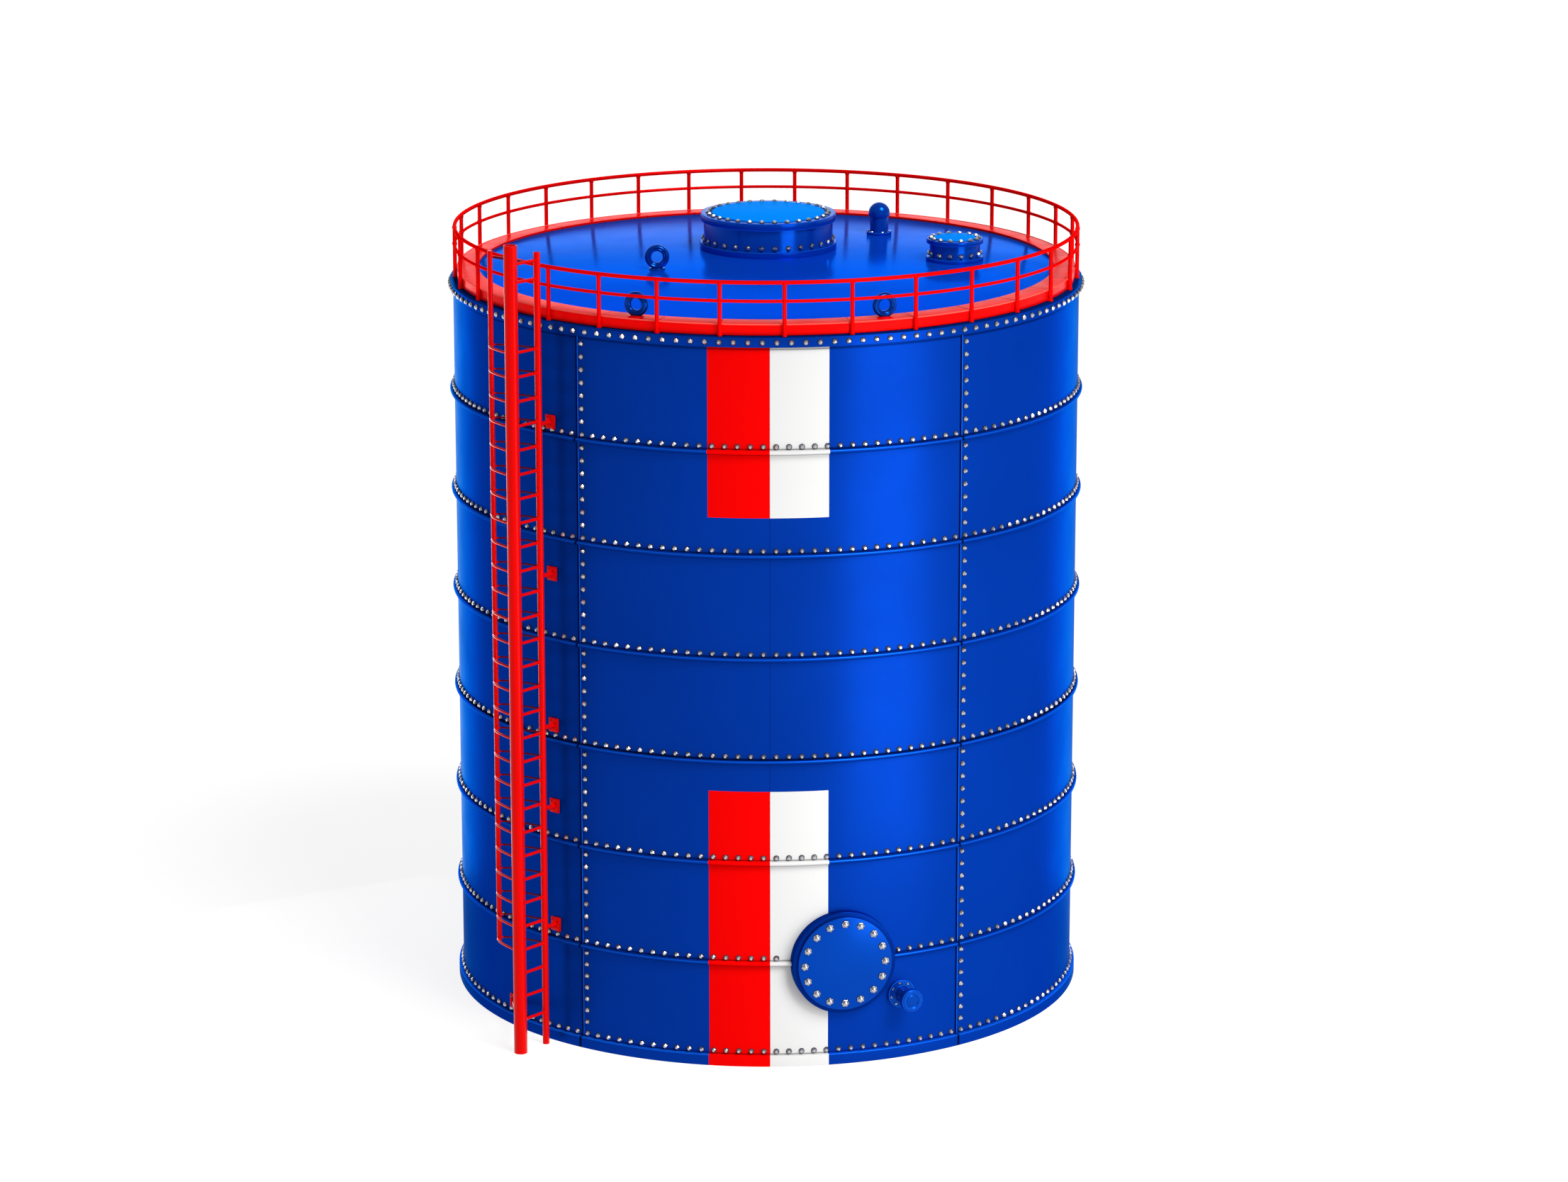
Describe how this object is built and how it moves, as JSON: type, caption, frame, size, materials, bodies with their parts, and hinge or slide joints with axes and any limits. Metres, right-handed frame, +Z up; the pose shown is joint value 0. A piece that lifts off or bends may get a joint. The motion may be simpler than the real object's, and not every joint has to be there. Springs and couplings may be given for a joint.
{
  "type": "vertical storage tank",
  "caption": "Upright round steel storage tank with a flat railed roof, side ladder with cage, roof manway, hatch, vent, shell manhole and blanked nozzle.",
  "frame": {"origin": "foot of the tank's axis, on the underside of the bottom plate", "axes": "+Z up, front with the stripes and the shell manhole towards -Y, +X to the right of someone facing the front"},
  "size_m": [8.6576, 8.8032, 11],
  "materials": {
    "shell_paint": "gloss",
    "roof_paint": "gloss",
    "fitting_paint": "gloss",
    "red_paint": "gloss",
    "bolt_steel": "bright"
  },
  "bodies": {
    "root": {"bottom_plate": "shell_paint", "shell_plate_1": "shell_paint", "shell_plate_2": "shell_paint", "shell_plate_3": "shell_paint", "shell_plate_4": "shell_paint", "shell_plate_5": "shell_paint", "shell_plate_6": "shell_paint", "base_flange": "shell_paint", "course_ring_1": "shell_paint", "course_ring_2": "shell_paint", "course_ring_3": "shell_paint", "course_ring_4": "shell_paint", "course_ring_5": "shell_paint", "course_ring_6": "shell_paint", "top_flange": "shell_paint", "roof": "roof_paint", "walkway_1": "red_paint", "walkway_2": "red_paint", "walkway_3": "red_paint", "walkway_4": "red_paint", "railing_1": "red_paint", "railing_2": "red_paint", "railing_3": "red_paint", "railing_4": "red_paint", "ladder_pole": "red_paint", "ladder_section_1": "red_paint", "ladder_section_2": "red_paint", "ladder_section_3": "red_paint", "cage_section_1": "red_paint", "cage_section_2": "red_paint", "cage_section_3": "red_paint", "manway_neck": "fitting_paint", "manway_cover": "fitting_paint", "hatch_neck": "fitting_paint", "hatch_cover": "fitting_paint", "vent_pipe": "fitting_paint", "vent_cap": "fitting_paint", "lifting_eye_1": "fitting_paint", "lifting_eye_2": "fitting_paint", "lifting_eye_3": "fitting_paint", "manhole_collar": "fitting_paint", "manhole_cover": "fitting_paint", "nozzle_pipe": "fitting_paint", "nozzle_blank": "fitting_paint"}
  },
  "joints": []
}
